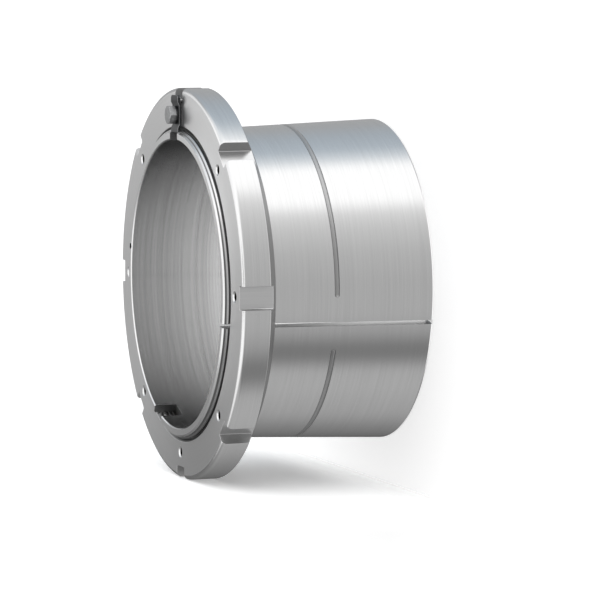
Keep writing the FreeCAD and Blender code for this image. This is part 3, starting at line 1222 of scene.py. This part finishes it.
@dataclass
class PaperSet:
    """The pale floor under the big end, a round card in the bore, and the card on which the sleeve lay.

    The last is seen within its reach of its centre and above its foot, each a soft edge from none to full.
    """

    floor_radius: float = 1600.0
    floor_sides: int = 96
    floor_colour: str = "#dddddd"
    floor_glow: float = 0.45
    bore_card: float = 139.0
    bore_card_lift: float = 0.2
    bore_card_glow: float = 2.2
    ground: float = -190.0
    ground_size: tuple[float, float] = (800.0, 1600.0)
    ground_lift: float = 0.5
    ground_glow: float = 0.08
    ground_second_colour: str = "#aaaaaa"
    ground_centre_height: float = 120.0
    ground_reach: tuple[float, float] = (420.0, 240.0)
    ground_foot: tuple[float, float] = (0.0, 90.0)

    def floor_material(self) -> bpy.types.Material:
        """Make the floor's white: bright paper that still takes the object's soft shadow.

        Returns:
            The material.
        """
        material, tree = new_material("white_paper")
        glow = add_node(tree, "Emission", {"Color": linear(WHITE), "Strength": self.floor_glow}).outputs[0]
        paper = add_node(tree, "BsdfDiffuse", {"Color": linear(self.floor_colour)}).outputs[0]
        seen = add_node(tree, "LightPath").outputs
        shown = add_node(
            tree, "Math", {"operation": "MAXIMUM"}, {0: seen["Is Camera Ray"], 1: seen["Is Glossy Ray"]}
        ).outputs[0]
        both = add_node(tree, "AddShader", links={0: glow, 1: paper}).outputs[0]
        mixed = add_node(tree, "MixShader", links={0: shown, 1: paper, 2: both}).outputs[0]
        add_node(tree, "OutputMaterial", links={"Surface": mixed})
        return material

    def bore_card_material(self) -> bpy.types.Material:
        """Make the card seen down the bore: white to the eye, and glowing brighter than white in the bore's
        gloss, as painted light.

        Returns:
            The material.
        """
        material, tree = new_material("glowing_card_in_bore")
        plain, gloss = (
            add_node(tree, "Emission", {"Color": linear(WHITE), "Strength": strength}).outputs[0]
            for strength in (1.0, self.bore_card_glow)
        )
        seen = add_node(tree, "LightPath").outputs["Is Glossy Ray"]
        mixed = add_node(tree, "MixShader", links={0: seen, 1: plain, 2: gloss}).outputs[0]
        add_node(tree, "OutputMaterial", links={"Surface": mixed})
        return material

    def ground_material(self) -> bpy.types.Material:
        """Make the paper on which the sleeve lay: white, softly shaded by the object, clear elsewhere.

        A second diffuse layer lifts it to white, because too little of the tent's light reaches it for one.

        Returns:
            The material.
        """
        material, tree = new_material("ground_paper")
        glow = add_node(tree, "Emission", {"Color": linear(WHITE), "Strength": self.ground_glow}).outputs[0]
        first, second = (
            add_node(tree, "BsdfDiffuse", {"Color": linear(colour)}).outputs[0]
            for colour in (WHITE, self.ground_second_colour)
        )
        paper = add_node(tree, "AddShader", links={0: first, 1: second}).outputs[0]
        front = add_node(tree, "AddShader", links={0: glow, 1: paper}).outputs[0]
        clear = add_node(tree, "BsdfTransparent").outputs[0]
        place = add_node(tree, "TexCoord").outputs["Object"]
        height = add_node(tree, "SeparateXYZ", links={"Vector": place}).outputs["Z"]
        centre = (self.ground * MM, 0.0, self.ground_centre_height * MM)
        reach = add_node(
            tree, "VectorMath", {"operation": "DISTANCE", 1: centre}, {0: place}
        ).outputs["Value"]
        near = soft_mask(
            tree, *(
                (value, none * MM, full * MM)
                for value, (none, full) in ((reach, self.ground_reach), (height, self.ground_foot))
            )
        )
        behind = add_node(tree, "NewGeometry").outputs["Backfacing"]
        facing = add_node(tree, "Math", {"operation": "SUBTRACT", 0: 1.0}, {1: behind}).outputs[0]
        shown = add_node(tree, "Math", {"operation": "MULTIPLY"}, {0: facing, 1: near}).outputs[0]
        mixed = add_node(tree, "MixShader", links={0: shown, 1: clear, 2: front}).outputs[0]
        add_node(tree, "OutputMaterial", links={"Surface": mixed})
        return material

    def disc(self, name: str, radius: float, lift: float, material: bpy.types.Material) -> bpy.types.Object:
        """Lay a round sheet of paper on the floor.

        Args:
            name: the sheet's name.
            radius: its radius.
            lift: how far it lies above the floor.
            material: its material.

        Returns:
            The sheet.
        """
        sheet = bmesh.new()
        bmesh.ops.create_circle(sheet, cap_ends=True, segments=self.floor_sides, radius=radius * MM)
        bmesh.ops.translate(sheet, verts=sheet.verts, vec=(0, 0, lift * MM))
        return make_object(name, sheet, material)

    def ground_card(self) -> bpy.types.Object:
        """Stand up the card on which the sleeve lay, beside the nut's rim.

        Returns:
            The card.
        """
        height, width = self.ground_size
        wall = bmesh.new()
        bmesh.ops.create_grid(wall, x_segments=1, y_segments=1, size=0.5)
        bmesh.ops.scale(wall, verts=wall.verts, vec=(height * MM, width * MM, 1.0))
        turn = Matrix.Rotation(math.radians(90), 3, "Y")
        bmesh.ops.rotate(wall, verts=wall.verts, cent=(0, 0, 0), matrix=turn)
        place = Vector((self.ground, 0, height / 2 + self.ground_lift)) * MM
        bmesh.ops.translate(wall, verts=wall.verts, vec=place)
        return make_object("ground_card", wall, self.ground_material())

    def build(self) -> None:
        """Lay out the floor and both cards."""
        floor = self.disc("pale_floor", self.floor_radius, 0.0, self.floor_material())
        floor.visible_glossy = False
        # The card in the bore glows for the gloss, as painted light down the bore
        card = self.disc("floor_in_bore", self.bore_card, self.bore_card_lift, self.bore_card_material())
        ground = self.ground_card()
        ground.visible_glossy = ground.visible_diffuse = ground.visible_shadow = False


@dataclass
class FaceLamp:
    """The soft lamp whose image brightens the nut's face; its size is in metres and its energy in watts."""

    place: tuple[float, float, float] = (350.0, 1125.0, 900.0)
    aim: tuple[float, float, float] = (0.0, 0.0, 200.0)
    size: tuple[float, float] = (0.8, 0.7)
    energy: float = 1.05

    def build(self) -> None:
        """Hang the lamp."""
        lamp = bpy.data.lights.new("face_softbox", "AREA")
        lamp.shape, lamp.energy = "RECTANGLE", self.energy
        lamp.size, lamp.size_y = self.size
        held = bpy.data.objects.new("face_softbox", lamp)
        held.location = Vector(self.place) * MM
        beam = Vector(self.aim) * MM - held.location
        held.rotation_euler = beam.to_track_quat("-Z", "Y").to_euler()
        bpy.context.scene.collection.objects.link(held)


@dataclass
class StudioCamera:
    """The camera where the photographer stood, turned on its side as the sleeve lay; angles in degrees."""

    azimuth: float = 5.122
    elevation: float = 19.864
    roll: float = 91.88
    place: tuple[float, float, float] = (289.74, -3449.17, 1329.50)
    lens: float = 225.155

    def build(self) -> None:
        """Place the camera and use it."""
        data = bpy.data.cameras.new("camera")
        data.lens, data.sensor_width = self.lens, 36.0
        data.clip_start, data.clip_end = 0.1, 50.0
        camera = bpy.data.objects.new("camera", data)
        bpy.context.scene.collection.objects.link(camera)
        turn, rise = math.radians(self.azimuth), math.radians(self.elevation)
        forward = Vector((-math.sin(turn) * math.cos(rise), math.cos(turn) * math.cos(rise), -math.sin(rise)))
        roll = Matrix.Rotation(math.radians(-self.roll), 3, "Z").to_quaternion()
        camera.rotation_mode = "QUATERNION"
        camera.rotation_quaternion = forward.to_track_quat("-Z", "Y") @ roll
        camera.location = Vector(self.place) * MM
        bpy.context.scene.camera = camera


def build_sleeve_and_nut() -> list[bpy.types.Object]:
    """Build the two steel rings that are screwed together.

    Returns:
        The sleeve and the nut.
    """
    thread = Thread()
    # Fine-turned steel: bright, with rings about the axis that draw each highlight out along it
    turned = MachinedSteel("turned_sleeve_steel")
    turned_nut = MachinedSteel("turned_nut_steel")
    # Bored steel: greyer and duller, its rings drawn coarser than elsewhere, and flat so that they stay even
    bored = MachinedSteel(
        "bored_steel", colour="#bebebe", line_colour="#a8a8a8", roughness=0.26, line=2.6,
        line_length=900.0, swell=16.0, depth=0.0,
    )
    # Sleeve's thread, slit and keyways, nut's bore and cone: a rough matt cut, its dark colour painted shade
    # there
    cut = MachinedSteel("dull_cut_shaded_steel", colour="#8e8e8e", line_colour="#7c7c7c", roughness=0.42)
    # Oil groove, slot walls and the nut's thread: a matt scraping cut, brighter than the cut steel, darkened
    # as painted shade
    broached_and_shaded = MachinedSteel("broached_shaded_steel", colour="#b8b8b8", line_colour="#aaaaaa", roughness=0.4)
    # End faces: faced in the lathe, as bright as the outside but softer, with shallow rings
    faced = MachinedSteel("faced_steel", line_colour="#d8d8d8", roughness=0.36, depth=0.0004)
    # Floors of the spanner slots: milled along the axis, with a satin gloss
    milled = MachinedSteel("milled_slot_steel", Lay.MILLED, roughness=0.3, stretch=0.3)
    # Tapped holes: near black, as painted shade down the holes
    hole_shade = BlackenedSteel("painted_shade_hole_steel", colour="#161616", worn="#242424")
    sleeve = AdapterSleeve(
        thread, turned, bore_finish=bored, end_finish=faced, groove_finish=broached_and_shaded, cut_and_shade_finish=cut,
        hole_finish=hole_shade,
    )
    nut = LockNut(
        thread, turned_nut, front_finish=faced, slot_finish=milled, wall_finish=broached_and_shaded, cut_and_shade_finish=cut,
        hole_finish=hole_shade,
    )
    return [sleeve.build(), nut.build()]


def build_locking_set() -> list[bpy.types.Object]:
    """Build the blackened clip with its fasteners.

    Returns:
        The clip, the bolt and the washer.
    """
    return LockingSet(
        # Hot-blackened strip steel: almost black, with soft gloss
        clip_finish=BlackenedSteel("blackened_clip_steel", colour="#3c3d3e", worn="#58595b"),
        # Its long edges, rubbed down to bright metal, and drawn lighter as a painted highlight
        worn_and_highlit_finish=BlackenedSteel("worn_and_highlit_clip_steel", colour="#b2b3b4", worn="#c4c5c6", roughness=0.3),
        # The bolt's thin blackening, worn to a mid grey by the spanner
        bolt_finish=BlackenedSteel("blackened_bolt_steel", colour="#909192", worn="#b4b5b6", roughness=0.3),
        # The washer's spring steel, between the two
        washer_finish=BlackenedSteel("blackened_washer_steel", colour="#48494a", worn="#6a6b6d"),
    ).build()


def main() -> None:
    """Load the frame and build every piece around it."""
    logging.basicConfig(level=logging.INFO, format="%(relativeCreated)d ms: %(message)s")
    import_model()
    pieces = build_sleeve_and_nut() + build_locking_set()
    for part in (LightTent(), PaperSet(), FaceLamp(), StudioCamera()):
        part.build()
    bpy.context.scene.view_settings.view_transform = "Standard"


if __name__ == "__main__":
    main()
